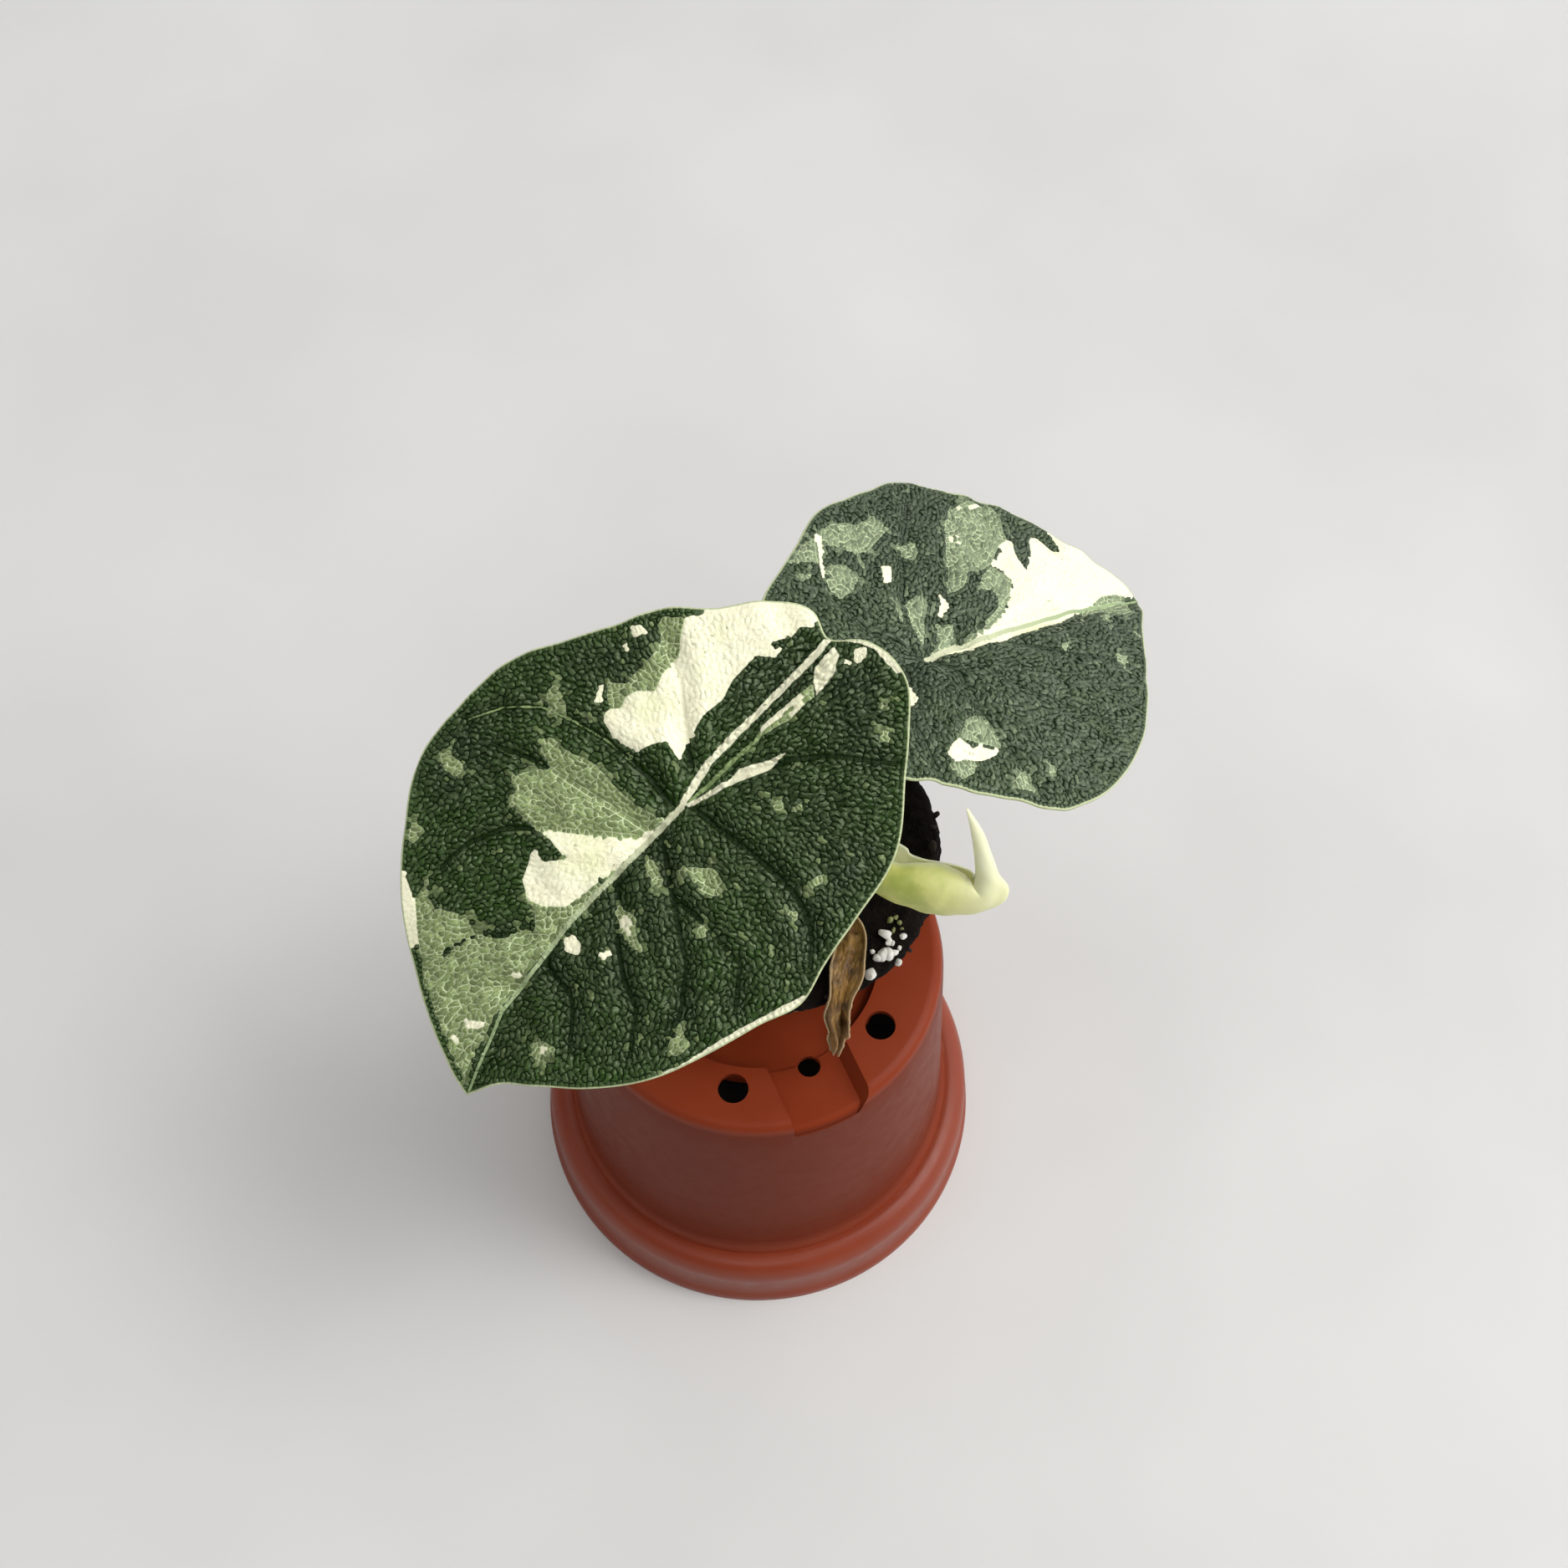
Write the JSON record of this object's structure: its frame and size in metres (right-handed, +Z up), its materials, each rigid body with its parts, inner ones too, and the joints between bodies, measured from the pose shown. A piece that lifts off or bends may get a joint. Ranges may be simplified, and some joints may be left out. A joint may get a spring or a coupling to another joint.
{
  "type": "variegated alocasia on an upturned nursery pot",
  "caption": "Young variegated alocasia with thick wrinkled leaves, a furled new leaf and a withered one, its bare root ball standing on the base of an upturned terracotta-coloured nursery pot.",
  "frame": {"origin": "centre of the whole part's box, at the level of the pot's rim, which stands on the surface", "axes": "+Z up, -Y towards the viewer of the picture, +X to the picture's right"},
  "size_m": [0.1246, 0.1134, 0.168],
  "materials": {
    "pot": "moulded terracotta-red plastic with a soft sheen",
    "peat": "crumbly, nearly black moist peat with white perlite",
    "stem": "dull green-brown",
    "stalk": "smooth pale green",
    "leaf": "waxy, deeply wrinkled dark green with sage and cream patches",
    "young_leaf": "smooth, satin, pale yellow-green and cream",
    "dry_leaf": "dry, papery golden brown"
  },
  "bodies": {
    "root": {"pot": "pot", "root_ball": "peat", "stem_base": "stem", "petiole_front": "stalk", "leaf_blade_front": "leaf", "petiole_back": "stalk", "leaf_blade_back": "leaf", "petiole_new": "stalk", "new_leaf": "young_leaf", "withered_leaf": "dry_leaf"}
  },
  "joints": []
}
